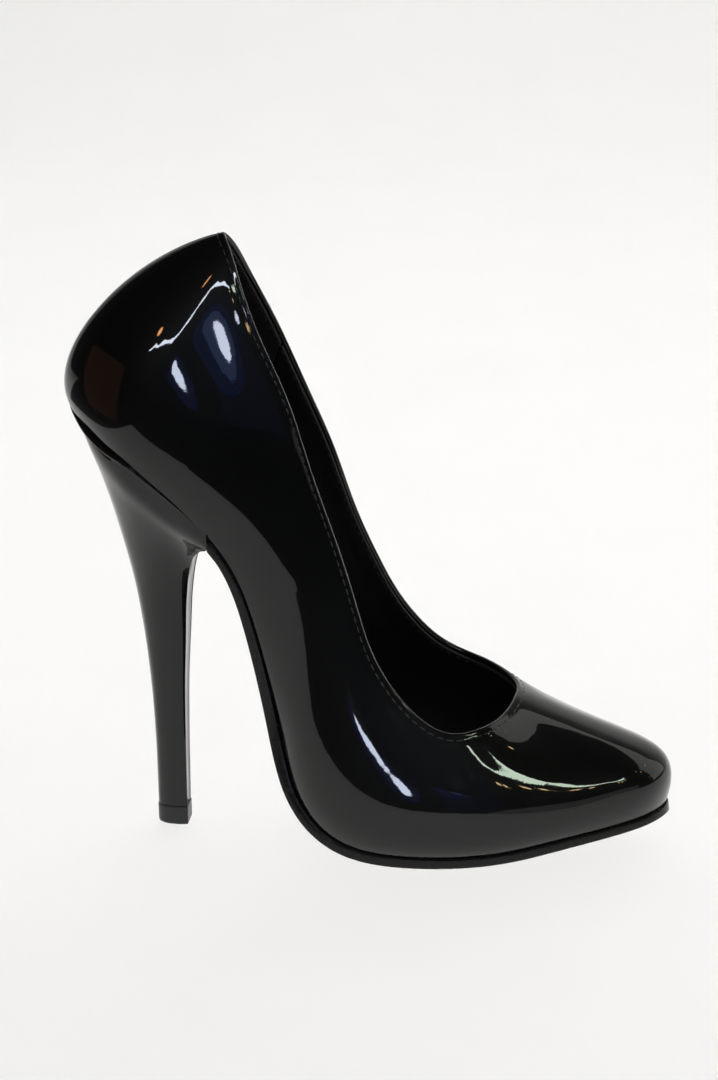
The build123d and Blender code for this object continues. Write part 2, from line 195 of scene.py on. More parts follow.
def wall_normal(u, v):
    """Outward normals of the wall."""
    v = np.asarray(v, dtype=float)
    step = 1e-3
    round_it = skin(u + step, v) - skin(u - step, v)
    up_it = skin(u, v + step) - skin(u, v - step)
    return unit(np.cross(round_it, up_it))


def wall(u, v, depth):
    """Points at a depth inside the outer face; depth may be one value or one for each v."""
    depth = np.broadcast_to(np.asarray(depth, float), np.shape(v))
    return skin(u, v) - depth[:, None] * wall_normal(u, v)


def spine(station):
    """Middle of the bottom between the two sides at a station from the back to the toe."""
    return (RAILS[0](place(station)) + RAILS[0](place(AROUND - station))) / 2


def floor_normal(station):
    """Direction out of the bottom face towards the foot."""
    station = station % AROUND
    station = station if station <= TOE else AROUND - station
    run = spine(min(station + 0.35, TOE)) - spine(max(station - 0.35, 0.0))
    return unit([-run[2], 0.0, run[0]])


def inwards(station):
    """Direction in the bottom face from the feather line towards the middle."""
    u = place(station)
    along = RAILS[0](u + 1e-3) - RAILS[0](u - 1e-3)
    return unit(np.cross(floor_normal(station), along))


def wall_start(station, depth, height):
    """How far up the wall a point is that stands at a height over the bottom face."""
    u = place(station)
    v = np.linspace(0, 0.5, 60)
    rise = (wall(u, v, depth) - RAILS[0](u)) @ floor_normal(station)
    return float(np.interp(height, rise, v))


def rim(station, depth, height, inset=0.0):
    """Point that follows the wall at a depth, at a height over or under the bottom face."""
    u = place(station)
    normal = floor_normal(station)
    point = wall(u, [wall_start(station, depth, height)], depth)[0]
    over = (point - RAILS[0](u)) @ normal
    return point + (height - over) * normal + inset * inwards(station)


def below_top(u, distances):
    """Shares v of the wall's height that lie at distances in mm under the topline."""
    v = np.linspace(0, 1, 200)
    line = skin(u, v)
    length = np.concatenate([[0], np.cumsum(np.linalg.norm(np.diff(line, axis=0), axis=1))])
    return np.interp(length[-1] - np.asarray(distances, float), length, v)


def smooth(x, low, high):
    """0 under low, 1 over high, and a smooth step between."""
    t = np.clip((np.asarray(x, float) - low) / (high - low), 0, 1)
    return t * t * (3 - 2 * t)


# --- meshes --------------------------------------------------------------------------------------


def grid_faces(rows, columns, wrap_rows=False, wrap_columns=False):
    """Quads of a grid whose points are numbered row by row."""
    faces = []
    for i in range(rows if wrap_rows else rows - 1):
        for j in range(columns if wrap_columns else columns - 1):
            a, b = i * columns + j, i * columns + (j + 1) % columns
            c, d = (i + 1) % rows * columns + (j + 1) % columns, (i + 1) % rows * columns + j
            faces.append((a, b, c, d))
    return faces


def make_object(name, points, faces, smooth_angle=38.0):
    """A mesh object in metres, with its faces turned outwards."""
    mesh = bpy.data.meshes.new(name)
    mesh.from_pydata([tuple(p) for p in np.asarray(points) * MM], [], faces)
    mesh.validate()
    obj = bpy.data.objects.new(name, mesh)
    bpy.context.scene.collection.objects.link(obj)
    turn_outwards(obj)
    mesh.shade_smooth()
    mesh.set_sharp_from_angle(angle=math.radians(smooth_angle))
    return obj


def turn_outwards(obj):
    """Turns the faces so that the closed mesh has a positive volume."""
    mesh = obj.data
    co = np.array([v.co for v in mesh.vertices])
    mesh.calc_loop_triangles()
    tri = np.array([t.vertices for t in mesh.loop_triangles])
    volume = np.einsum("ij,ij->i", co[tri[:, 0]], np.cross(co[tri[:, 1]], co[tri[:, 2]])).sum()
    if volume < 0:
        mesh.flip_normals()


def loop_body(name, loops, closed=False, **options):
    """A body swept through closed loops of points, each loop's second half facing its first."""
    loops = np.asarray(loops)
    rows, columns = loops.shape[:2]
    faces = grid_faces(rows, columns, wrap_rows=closed, wrap_columns=True)
    if not closed:
        for row in (0, rows - 1):
            base = row * columns
            for j in range(columns // 2 - 1):
                quad = [base + j, base + columns - 1 - j, base + columns - 2 - j, base + j + 1]
                faces.append(tuple(quad if row == 0 else quad[::-1]))
    return make_object(name, loops.reshape(-1, 3), faces, **options)


def paint(obj, *materials):
    for material in materials:
        obj.data.materials.append(material)


def settle(obj, slot, *nodes):
    """Ties a finished piece to the frame."""
    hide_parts(*nodes)
    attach(obj, "root")


# --- materials -----------------------------------------------------------------------------------


def colour(code):
    """Linear colour from a six-figure sRGB code."""
    parts = [int(code[i : i + 2], 16) / 255 for i in (0, 2, 4)]
    return (*[c / 12.92 if c <= 0.04045 else ((c + 0.055) / 1.055) ** 2.4 for c in parts], 1.0)


def node(tree, kind, inputs=None, **settings):
    """Adds a node, sets its properties, and sets or links its inputs."""
    item = tree.nodes.new(kind)
    for key, value in settings.items():
        setattr(item, key, value)
    for key, value in (inputs or {}).items():
        if isinstance(value, bpy.types.NodeSocket):
            tree.links.new(value, item.inputs[key])
        else:
            item.inputs[key].default_value = value
    return item


def new_material(name):
    """A material with its shader and the object's own coordinates."""
    material = bpy.data.materials.new(name)
    material.use_nodes = True
    tree = material.node_tree
    tree.nodes.clear()
    place_node = node(tree, "ShaderNodeTexCoord")
    shader = node(tree, "ShaderNodeBsdfPrincipled")
    out = node(tree, "ShaderNodeOutputMaterial")
    tree.links.new(shader.outputs["BSDF"], out.inputs["Surface"])
    return material, tree, shader, place_node.outputs["Object"]


def noise(tree, vector, pitch_mm, detail=3.0, roughness=0.5, distortion=0.0):
    """Noise whose blotches are about pitch_mm across."""
    inputs = {"Vector": vector, "Scale": 1 / (pitch_mm * MM), "Detail": detail}
    inputs |= {"Roughness": roughness, "Distortion": distortion}
    return node(tree, "ShaderNodeTexNoise", inputs).outputs["Fac"]


def spread(tree, value, low, high, to_low=0.0, to_high=1.0):
    """Maps a range of a value on to another one, held at its ends."""
    inputs = {"Value": value, "From Min": low, "From Max": high, "To Min": to_low, "To Max": to_high}
    return node(tree, "ShaderNodeMapRange", inputs).outputs["Result"]


def mix_colour(tree, factor, a, b):
    item = node(tree, "ShaderNodeMix", data_type="RGBA")
    tree.links.new(factor, item.inputs["Factor"])
    for key, value in (("A", a), ("B", b)):
        socket = [s for s in item.inputs if s.name == key and s.type == "RGBA"][0]
        if isinstance(value, bpy.types.NodeSocket):
            tree.links.new(value, socket)
        else:
            socket.default_value = value
    return [s for s in item.outputs if s.type == "RGBA"][0]


def bump(tree, height, depth_mm, strength=1.0, before=None):
    inputs = {"Height": height, "Distance": depth_mm * MM, "Strength": strength}
    if before is not None:
        inputs["Normal"] = before
    return node(tree, "ShaderNodeBump", inputs).outputs["Normal"]


def math_node(tree, operation, a, b=None):
    item = node(tree, "ShaderNodeMath", operation=operation)
    for socket, value in zip(item.inputs, (a, b)):
        if isinstance(value, bpy.types.NodeSocket):
            tree.links.new(value, socket)
        elif value is not None:
            socket.default_value = value
    return item.outputs[0]


def patent_leather(name, base="060606", gloss=0.03):
    """Black leather under a thick clear lacquer: faint orange peel, long soft waves, fine dust."""
    material, tree, shader, where = new_material(name)
    peel = noise(tree, where, 1.6, 2.0)
    wave = noise(tree, where, 11.0, 2.0)
    grain = noise(tree, where, 0.5, 3.0)
    dust = spread(tree, noise(tree, where, 0.35, 5.0, 0.75), 0.70, 0.80)
    under = bump(tree, grain, 0.03, 0.35)
    lacquer = bump(tree, wave, 0.10, 0.35)
    lacquer = bump(tree, peel, 0.012, 0.35, lacquer)
    tone = mix_colour(tree, dust, colour(base), colour("1c1b1a"))
    tree.links.new(tone, shader.inputs["Base Color"])
    tree.links.new(under, shader.inputs["Normal"])
    tree.links.new(lacquer, shader.inputs["Coat Normal"])
    tree.links.new(spread(tree, dust, 0, 1, gloss, 0.12), shader.inputs["Coat Roughness"])
    shader.inputs["Roughness"].default_value = 0.42
    shader.inputs["Specular IOR Level"].default_value = 0.06
    shader.inputs["Coat Weight"].default_value = 1.0
    shader.inputs["Coat IOR"].default_value = 1.42
    return material


def lining_leather(name, base="0b0b0b", roughness=0.5):
    """Black lining leather: pored grain and slight rubbing marks."""
    material, tree, shader, where = new_material(name)
    cells = node(tree, "ShaderNodeTexVoronoi", {"Vector": where, "Scale": 1 / (0.7 * MM)}, feature="F1")
    pores = spread(tree, cells.outputs["Distance"], 0.0, 0.35)
    folds = noise(tree, where, 2.5, 4.0, 0.6)
    rubbed = spread(tree, noise(tree, where, 14.0, 3.0), 0.35, 0.7)
    normal = bump(tree, folds, 0.05, 0.5, bump(tree, pores, 0.04, 0.5))
    tree.links.new(mix_colour(tree, rubbed, colour(base), colour("171615")), shader.inputs["Base Color"])
    tree.links.new(spread(tree, rubbed, 0, 1, roughness, roughness - 0.1), shader.inputs["Roughness"])
    tree.links.new(normal, shader.inputs["Normal"])
    return material


def painted_edge(name):
    """Sole edge: black edge paint, wax polished, over trimmed leather whose layers show faintly."""
    material, tree, shader, where = new_material(name)
    fibres = noise(tree, where, 0.45, 4.0, 0.6)
    drips = noise(tree, where, 5.0, 2.0)
    normal = bump(tree, drips, 0.12, 0.5, bump(tree, fibres, 0.05, 0.6))
    tree.links.new(mix_colour(tree, fibres, colour("080808"), colour("131211")), shader.inputs["Base Color"])
    tree.links.new(spread(tree, drips, 0.3, 0.7, 0.18, 0.34), shader.inputs["Roughness"])
    tree.links.new(normal, shader.inputs["Normal"])
    shader.inputs["Specular IOR Level"].default_value = 0.25
    return material


def sole_leather(name):
    """Sole face: dyed leather with fine grain, faint buffing lines along it and blotches of wear all over it.
    """
    material, tree, shader, where = new_material(name)
    stretched = node(tree, "ShaderNodeMapping", {"Vector": where, "Scale": (0.12, 1.0, 1.0)}).outputs[0]
    lines = noise(tree, stretched, 0.5, 3.0, 0.6)
    grain = noise(tree, where, 0.3, 4.0, 0.7)
    blotch = noise(tree, where, 9.0, 3.0)
    tone = mix_colour(tree, blotch, colour("0d0c0b"), colour("1a1816"))
    tone = mix_colour(tree, spread(tree, lines, 0.55, 0.75, 0, 0.5), tone, colour("292521"))
    tree.links.new(tone, shader.inputs["Base Color"])
    tree.links.new(spread(tree, blotch, 0.3, 0.7, 0.38, 0.52), shader.inputs["Roughness"])
    tree.links.new(bump(tree, grain, 0.03, 0.6, bump(tree, lines, 0.03, 0.6)), shader.inputs["Normal"])
    return material


def moulded_polyurethane(name):
    """Top piece: hard black polyurethane with a fine moulded texture and scuffs underneath."""
    material, tree, shader, where = new_material(name)
    texture = noise(tree, where, 0.25, 2.0)
    scuff = spread(tree, noise(tree, where, 1.8, 4.0, 0.7), 0.55, 0.7)
    tree.links.new(mix_colour(tree, scuff, colour("0c0c0d"), colour("1b1b1b")), shader.inputs["Base Color"])
    tree.links.new(spread(tree, scuff, 0, 1, 0.34, 0.55), shader.inputs["Roughness"])
    tree.links.new(bump(tree, texture, 0.03, 0.5), shader.inputs["Normal"])
    return material


def waxed_thread(name):
    """Black bonded nylon thread: twisted plies and a light wax."""
    material, tree, shader, where = new_material(name)
    plies = node(tree, "ShaderNodeTexWave", {"Vector": where, "Scale": 1 / (1.2 * MM), "Distortion": 2.0})
    tone = mix_colour(tree, plies.outputs["Fac"], colour("0b0b0b"), colour("1f1e1d"))
    tree.links.new(tone, shader.inputs["Base Color"])
    tree.links.new(bump(tree, plies.outputs["Fac"], 0.04, 0.6), shader.inputs["Normal"])
    shader.inputs["Roughness"].default_value = 0.33
    return material


def hidden_stock(name, base, other, pitch_mm, depth_mm, roughness=0.8, metallic=0.0):
    """A plain inner material: two close tones in blotches of one size, with a little relief."""
    material, tree, shader, where = new_material(name)
    blotch = noise(tree, where, pitch_mm, 4.0, 0.6)
    tree.links.new(mix_colour(tree, blotch, colour(base), colour(other)), shader.inputs["Base Color"])
    tree.links.new(bump(tree, blotch, depth_mm, 0.6), shader.inputs["Normal"])
    shader.inputs["Roughness"].default_value = roughness
    shader.inputs["Metallic"].default_value = metallic
    return material


# --- upper ---------------------------------------------------------------------------------------


def around(fine):
    """Stations round the shoe, closer together beside the back seam."""
    plain = np.arange(0.15, AROUND - 0.149, 1 / fine)
    seam = np.array([0.0, 0.012, 0.025, 0.045, 0.075, 0.11])
    return np.concatenate([seam, plain, AROUND - seam[:0:-1]])


def seam_dip(station, p):
    """Depth of the groove where the two ends of the upper meet at the back."""
    mm = min(station, AROUND - station) * p.seam_pitch
    return p.seam_depth * math.exp(-((mm / p.seam_width) ** 2))


def upper_loop(station, p):
    """Section of the upper: outer face, fold over the tape, turned edge, inner face and margin."""
    u = place(station)
    fold = p.fold_radius
    margin = float(np.interp(station % AROUND, [0, 1.5, 13.5, 15, 16.5, 28.5, 30], [3, 9, 9, 3, 9, 9, 3]))
    normal, inward, edge = floor_normal(station), inwards(station), RAILS[0](u)
    top = below_top(u, [fold])[0]
    climb = np.sin(np.linspace(0, 1, 44) * np.pi / 2) ** 0.9
    v_out = climb * top
    drop = below_top(u, p.stitch_inset)
    dent = 0.10 * np.exp(-(((v_out - drop) * 55 / 1.0) ** 2))
    outer = wall(u, v_out, seam_dip(station, p) * smooth(v_out, 0, 0.02) + dent)
    outer[0] = edge + 0.05 * normal
    out, up = wall_normal(u, [top])[0], unit(skin(u, [1.0])[0] - skin(u, [top])[0])
    centre = skin(u, [top])[0] - fold * out
    arc = [centre + fold * (math.cos(a) * out + math.sin(a) * up) for a in np.radians(np.arange(15, 181, 15))]
    turned_v = below_top(u, [1.6, 2.6, 4.0, 5.4, 6.2])
    turned = wall(u, turned_v, np.array([1.98, 1.97, 1.92, 1.82, 1.74]))
    pocket_v = np.array([turned_v[-1], turned_v[-2], 0.9885])
    pocket = wall(u, pocket_v, np.array([1.68, 1.68, 1.68]))
    inner = wall(u, np.linspace(0.9885, wall_start(station, 1.0, 1.15), 22), 1.0)
    over = [edge + s * margin * inward + 1.05 * normal for s in (0.5, 1.0)]
    under = [edge + s * margin * inward + 0.05 * normal for s in (1.0, 0.5)]
    return np.concatenate([outer, arc, turned, pocket, inner, over, under])


def build_upper(p):
    loops = [upper_loop(station, p) for station in around(16)[:-1]]
    obj = loop_body("upper_patent", loops, closed=True)
    paint(obj, patent_leather("Patent leather, black"))
    settle(obj, "upper", "upper")
    return obj


# --- linings -------------------------------------------------------------------------------------


def lining_loop(station):
    """Section of a lining: it starts under the turned edge and eases out to the wall below it."""
    u = place(station)
    low = wall_start(station, 1.7, 1.25)
    top = below_top(u, [1.15])[0]
    v = low + (top - low) * np.sin(np.linspace(0, 1, 34) * np.pi / 2)
    lift = 0.33 * smooth(v, below_top(u, [9.0])[0], below_top(u, [5.0])[0])
    outer = wall(u, v, 1.7 + lift)
    inner = wall(u, v, 2.5 + lift)
    inner[-1] = wall(u, below_top(u, [1.35]), 2.42 + lift[-1])[0]
    return np.concatenate([outer, inner[::-1]])


def build_lining(name, start, end, node_name, material):
    count = max(8, int(abs(end - start) * 12))
    obj = loop_body(name, [lining_loop(k) for k in np.linspace(start, end, count)])
    paint(obj, material)
    settle(obj, "lining", node_name)
    return obj


# --- bottom --------------------------------------------------------------------------------------


def across_bottom(station, low, high, depth=INSIDE, inset=0.0, crown=0.0, bow=0.0, bulge=0.0):
    """Section of a bottom layer: upper side from the outer edge to the inner, then the lower side."""
    other = AROUND - station
    normal = floor_normal(station)
    top = [rim(j, depth, high, inset) for j in (station, other)]
    bottom = [rim(j, depth, low, inset) for j in (station, other)]
    t = (1 - np.cos(np.linspace(0, 1, 15) * np.pi)) / 2
    width = np.linalg.norm(top[1] - top[0])
    hump = 4 * t * (1 - t)
    upper_side = top[0] + t[:, None] * (top[1] - top[0]) + (crown * hump)[:, None] * normal
    lower_side = bottom[1] + t[:, None] * (bottom[0] - bottom[1]) - (bow * hump)[:, None] * normal
    if bulge:
        ease = np.exp(-t * width / 0.8) * 0.35
        upper_side -= (ease + ease[::-1])[:, None] * normal * min(1.0, bulge * 3)
        lower_side += (ease + ease[::-1])[:, None] * normal * min(1.0, bulge * 3)
    sides = []
    outer_way = unit((bottom[0] + top[0]) / 2 - (bottom[1] + top[1]) / 2)
    for a, b, out in ((top[1], bottom[1], -outer_way), (bottom[0], top[0], outer_way)):
        sides.append([a + s * (b - a) + bulge * 4 * s * (1 - s) * out for s in (0.15, 0.4, 0.6, 0.85)])
    return np.concatenate([upper_side, sides[0], lower_side, sides[1]])


def ring_body(name, loops, **options):
    """A body swept through loops, closed by fans of quads between facing points at both ends."""
    loops = np.asarray(loops)
    rows, columns = loops.shape[:2]
    faces = grid_faces(rows, columns, wrap_columns=True)
    faces.append(tuple(range(columns))[::-1])
    faces.append(tuple((rows - 1) * columns + j for j in range(columns)))
    return make_object(name, loops.reshape(-1, 3), faces, **options)


def sole_edge(k):
    return -float(np.interp(k, [3.5, 4, 5.5, 7, 8, 10, 13, 15], [3.3, 2.9, 3.4, 3.8, 3.6, 3.3, 3.0, 2.9]))


def sole_bow(k):
    return float(np.interp(k, [3.5, 7, 8.5, 10, 12, 15], [0.3, 0.5, 1.2, 2.5, 1.2, 0.3]))


def build_outsole(p):
    loops = []
    for k in [*np.arange(HEEL_FRONT - 0.02, 14.0, 0.08), *np.linspace(14.0, 14.99, 24)]:
        loop = across_bottom(k, sole_edge(k), -0.05, -0.5, bow=sole_bow(k), bulge=0.22)
        loop[:, 2] = np.maximum(loop[:, 2], 0.0)
        loop[:, 0] = np.maximum(loop[:, 0], SOLE_END)
        loops.append(loop)
    obj = ring_body("outsole_leather", loops)
    paint(obj, painted_edge("Sole edge, painted black"), sole_leather("Sole leather, dyed black"))
    columns = len(loops[0])
    for face in obj.data.polygons:
        spots = [v % columns for v in face.vertices]
        if all(20 <= s <= 32 for s in spots):
            face.material_index = 1
    settle(obj, "sole", "outsole")
    return obj


def build_sock(p):
    loops = []
    for k in [0.12, *np.arange(0.2, 14.0, 0.12), *np.linspace(14.0, 14.9, 16)]:
        loops.append(across_bottom(k, 4.68, 5.4, crown=p.sock_crown, bulge=0.15))
    obj = ring_body("sock_padded", loops)
    paint(obj, lining_leather("Sock leather, black", "0a0a0a", 0.46))
    settle(obj, "lining", "sock_lining")
    return obj


# --- heel ----------------------------------------------------------------------------------------


def seat_outline():
    """Heel outline at the seat, on a plane just over it."""
    (back_x, back_z), (front_x, front_z) = SEAT_PLANE
    points = []
    for k in np.linspace(HEEL_FRONT, -HEEL_FRONT, 11):
        point = rim(k % AROUND, -HEEL_RIM, 0.0)
        share = (point[0] - back_x) / (front_x - back_x)
        point[2] = back_z + share * (front_z - back_z)
        points.append(point)
    return np.array(points)


def stem_outline(back_x, back_z, front_x, front_z, breast, widest):
    """Heel outline lower down: a flat breast, then swelling sides and a rounded back."""
    half = []
    turn = 0.35
    for share in (0.0, 0.17):
        width = breast + (widest - breast) * np.sin(np.pi / 2 * share / turn)
        half.append((share, width))
    for angle in np.radians([0, 32, 60]):
        half.append((turn + (1 - turn) * np.sin(angle), widest * np.cos(angle)))
    front, back = np.array([front_x, 0, front_z]), np.array([back_x, 0, back_z])
    outer = [front + (back - front) * s - np.array([0, w, 0]) for s, w in half]
    inner = [p * np.array([1, -1, 1]) for p in outer[::-1]]
    return np.array([*outer, back, *inner])


def hermite(rows, at, where):
    """Smooth rows between the given ones, at the positions asked for."""
    slope = np.gradient(rows, at, axis=0)
    out = []
    for x in where:
        i = int(np.clip(np.searchsorted(at, x, side="right") - 1, 0, len(at) - 2))
        gap = at[i + 1] - at[i]
        t = (x - at[i]) / gap
        held = (1 + 2 * t) * (1 - t) ** 2 * rows[i] + t * t * (3 - 2 * t) * rows[i + 1]
        out.append(held + gap * (t * (1 - t) ** 2 * slope[i] - t * t * (1 - t) * slope[i + 1]))
    return np.array(out)


def heel_field(columns=61, rows=160):
    """Points of the heel's outer face, rows from the seat's plane down, columns round the back."""
    given = np.array([seat_outline()] + [stem_outline(*row) for row in HEEL_STEM])
    gaps = np.linalg.norm(np.diff(given, axis=0), axis=2).mean(axis=1)
    down = np.concatenate([[0.0], np.cumsum(gaps)])
    field = hermite(given, down, np.linspace(0, down[-1], rows))
    chord = np.linalg.norm(np.diff(given, axis=1), axis=2).mean(axis=0)
    along = np.concatenate([[0.0], np.cumsum(chord)])
    fine = hermite(np.swapaxes(field, 0, 1), along, np.linspace(0, along[-1], columns))
    return np.swapaxes(fine, 0, 1)


def seat_height(x):
    """z of the bottom face over x behind the arch."""
    line = np.array([spine(k) for k in np.linspace(0, 6, 60)])
    order = np.argsort(line[:, 0])
    return np.interp(x, line[order, 0], line[order, 2])


def trimmed_columns(field, distances, gap=0.07):
    """Each column cut off under the seat and sampled at distances down from there, then to its foot."""
    columns = []
    for column in np.swapaxes(field, 0, 1):
        over = column[:, 2] - (seat_height(column[:, 0]) - gap)
        first = int(np.argmax(over < 0))
        share = over[first - 1] / (over[first - 1] - over[first])
        start = column[first - 1] + share * (column[first] - column[first - 1])
        line = np.vstack([start, column[first:]])
        length = np.concatenate([[0], np.cumsum(np.linalg.norm(np.diff(line, axis=0), axis=1))])
        far = np.array(distances, dtype=float)
        stretch = (length[-1] - 12) / (distances[-1] - 12)
        spots = np.where(far < 12, far, 12 + (far - 12) * stretch)
        columns.append(np.array([np.interp(spots, length, line[:, c]) for c in range(3)]).T)
    return np.swapaxes(np.array(columns), 0, 1)


def heel_shells(p):
    """Outer face of the heel cover with its rim bead, and the cover's inner face."""
    distances = [0, 0.15, 0.35, 0.7, 1.2, 1.7, 2.1, 2.4, 2.6, 2.8, 3.1, 3.6, 4.5, 6, 8, 10, 12]
    distances += list(np.linspace(13, 132, 90))
    outer = trimmed_columns(heel_field(), distances)
    rows, columns = outer.shape[:2]
    round_it = np.gradient(outer, axis=1)
    down = np.gradient(outer, axis=0)
    out = unit(np.cross(down, round_it))
    centre = outer.mean(axis=1, keepdims=True)
    if (out * (outer - centre)).sum() < 0:
        out = -out
    side = np.abs(np.linspace(-1, 1, columns))
    height = p.rim_height * (1 - smooth(side, 0.35, 0.98)) + 0.25
    depth = np.array(distances)[:, None] / height[None, :]
    profile = np.sqrt(np.clip(1 - (2 * np.clip(depth, 0, 1) - 1) ** 4, 0, 1))
    bead = p.rim_lip * (1 - smooth(depth, 0.86, 1.0)) * profile
    bead = bead * (1 - smooth(side, 0.55, 1.0))[None, :]
    corner = 0.35 * np.exp(-((1 - side) * columns / 2 / 1.2) ** 2)
    inner = outer - p.cover * out
    return outer + (bead - corner[None, :])[..., None] * out, inner, out


def build_heel(p):
    outer, inner, out = heel_shells(p)
    obj = loop_body("heel_cover_patent", [np.concatenate([a, b[::-1]]) for a, b in zip(outer, inner)])
    patent = patent_leather("Heel patent leather, black", gloss=0.05)
    paint(obj, patent)
    settle(obj, "heel_cover", "heel_cover")
    return obj


def build_breast(p):
    outer, inner, out = heel_shells(p)
    loops = []
    t = np.linspace(0, 1, 13)
    for row in range(len(outer)):
        a, b = inner[row, 0], inner[row, -1]
        back = outer[row, len(outer[row]) // 2]
        rearward = unit(back - (a + b) / 2)
        a = a + 0.04 * unit(b - a)
        b = b + 0.04 * unit(a - b)
        hollow = p.breast_hollow * 4 * t * (1 - t) * min(1.0, np.linalg.norm(b - a) / 14)
        front = a + t[:, None] * (b - a) + hollow[:, None] * rearward + 0.02 * rearward
        loops.append(np.concatenate([front, (front + 0.6 * rearward)[::-1]]))
    obj = loop_body("heel_breast_patent", loops)
    paint(obj, patent_leather("Breast patent leather, black", gloss=0.05))
    settle(obj, "heel_cover", "heel_breast_cover")
    return obj


def build_top_piece(p):
    """The small block under the heel, its sides drawn in a little and its corners rounded."""
    outline = stem_outline(*HEEL_STEM[-1])[:, None]
    base = hermite(outline, np.arange(11.0), np.linspace(0, 10, 41))[:, 0]
    base = np.vstack([base, base[-1] + (base[0] - base[-1]) * np.linspace(0, 1, 9)[1:-1, None]])
    centre = base.mean(axis=0)
    loops = []
    levels = [(0.0, -0.25), (0.12, -0.06), (0.35, 0.08), (1.2, 0.12)]
    levels += [(4.6, 0.12), (5.6, 0.15), (5.95, 0.08), (6.08, -0.1)]
    for z, grow in levels:
        flat = base - centre
        flat = flat * (1 + grow / np.maximum(np.linalg.norm(flat[:, :2], axis=1), 1)[:, None])
        loop = centre + flat
        loop[:, 2] = z
        loops.append(loop)
    obj = ring_body("top_piece_moulded", loops)
    paint(obj, moulded_polyurethane("Hard polyurethane, black"))
    settle(obj, "top_piece", "top_piece")
    return obj


# --- stitches ------------------------------------------------------------------------------------


def stitch_row(points, normals, pitch, phase=0.0):
    """Middles, directions and normals of stitches set along a line at an even pitch."""
    points, normals = np.asarray(points), np.asarray(normals)
    length = np.concatenate([[0], np.cumsum(np.linalg.norm(np.diff(points, axis=0), axis=1))])
    count = max(2, int(length[-1] / pitch))
    at = (np.arange(count) + 0.5) * length[-1] / count
    middle = np.array([np.interp(at, length, points[:, c]) for c in range(3)]).T
    ahead = np.array([np.interp(at + 0.4, length, points[:, c]) for c in range(3)]).T
    behind = np.array([np.interp(at - 0.4, length, points[:, c]) for c in range(3)]).T
    normal = unit(np.array([np.interp(at, length, normals[:, c]) for c in range(3)]).T)
    return middle, unit(ahead - behind), normal


def stitch_tree(material, p):
    """Geometry Nodes: a bent thread on every point, laid along the point's own directions."""
    tree = bpy.data.node_groups.new("Stitches", "GeometryNodeTree")
    face = tree.interface
    face.new_socket("Geometry", in_out="INPUT", socket_type="NodeSocketGeometry")
    length = face.new_socket("Stitch length", in_out="INPUT", socket_type="NodeSocketFloat")
    thick = face.new_socket("Thread radius", in_out="INPUT", socket_type="NodeSocketFloat")
    seed = face.new_socket("Seed", in_out="INPUT", socket_type="NodeSocketInt")
    face.new_socket("Geometry", in_out="OUTPUT", socket_type="NodeSocketGeometry")
    start, finish = node(tree, "NodeGroupInput"), node(tree, "NodeGroupOutput")
    half = math_node(tree, "MULTIPLY", start.outputs["Stitch length"], 0.5)
    minus = math_node(tree, "MULTIPLY", half, -1.0)
    sunk = math_node(tree, "MULTIPLY", start.outputs["Thread radius"], -1.6)
    raised = math_node(tree, "MULTIPLY", start.outputs["Thread radius"], 1.5)
    ends = [node(tree, "ShaderNodeCombineXYZ", {0: x, 2: sunk}).outputs[0] for x in (minus, half)]
    middle = node(tree, "ShaderNodeCombineXYZ", {2: raised}).outputs[0]
    bend = {"Resolution": 8, "Start": ends[0], "Middle": middle, "End": ends[1]}
    arc = node(tree, "GeometryNodeCurveQuadraticBezier", bend)
    round_section = {"Resolution": 8, "Radius": start.outputs["Thread radius"]}
    ring = node(tree, "GeometryNodeCurvePrimitiveCircle", round_section)
    swept = {"Curve": arc.outputs[0], "Profile Curve": ring.outputs[0], "Fill Caps": True}
    thread = node(tree, "GeometryNodeCurveToMesh", swept)
    ways = [
        node(tree, "GeometryNodeInputNamedAttribute", {"Name": name}, data_type="FLOAT_VECTOR").outputs[0]
        for name in ("along", "outward")
    ]
    align = "FunctionNodeAlignRotationToVector"
    turn = node(tree, align, {"Vector": ways[0]}, axis="X", pivot_axis="AUTO")
    turn = node(tree, align, {"Rotation": turn.outputs[0], "Vector": ways[1]}, axis="Z", pivot_axis="X")
    wobble = node(tree, "FunctionNodeRandomValue", {"Seed": start.outputs["Seed"]}, data_type="FLOAT_VECTOR")
    wobble.inputs["Min"].default_value = (-0.03, -0.03, -0.045)
    wobble.inputs["Max"].default_value = (0.03, 0.03, 0.045)
    to_turn = node(tree, "FunctionNodeEulerToRotation", {0: wobble.outputs[0]})
    both = {0: turn.outputs[0], 1: to_turn.outputs[0]}
    turned = node(tree, "FunctionNodeRotateRotation", both, rotation_space="LOCAL")
    points = node(tree, "GeometryNodeMeshToPoints", {"Mesh": start.outputs["Geometry"]})
    spread_out = {"Points": points.outputs[0], "Instance": thread.outputs[0], "Rotation": turned.outputs[0]}
    placed = node(tree, "GeometryNodeInstanceOnPoints", spread_out)
    real = node(tree, "GeometryNodeRealizeInstances", {0: placed.outputs[0]})
    dressed = node(tree, "GeometryNodeSetMaterial", {"Geometry": real.outputs[0], "Material": material})
    tree.links.new(dressed.outputs[0], finish.inputs[0])
    return tree, {
        length.identifier: p.stitch_length * MM,
        thick.identifier: p.thread_radius * MM,
        seed.identifier: p.seed,
    }


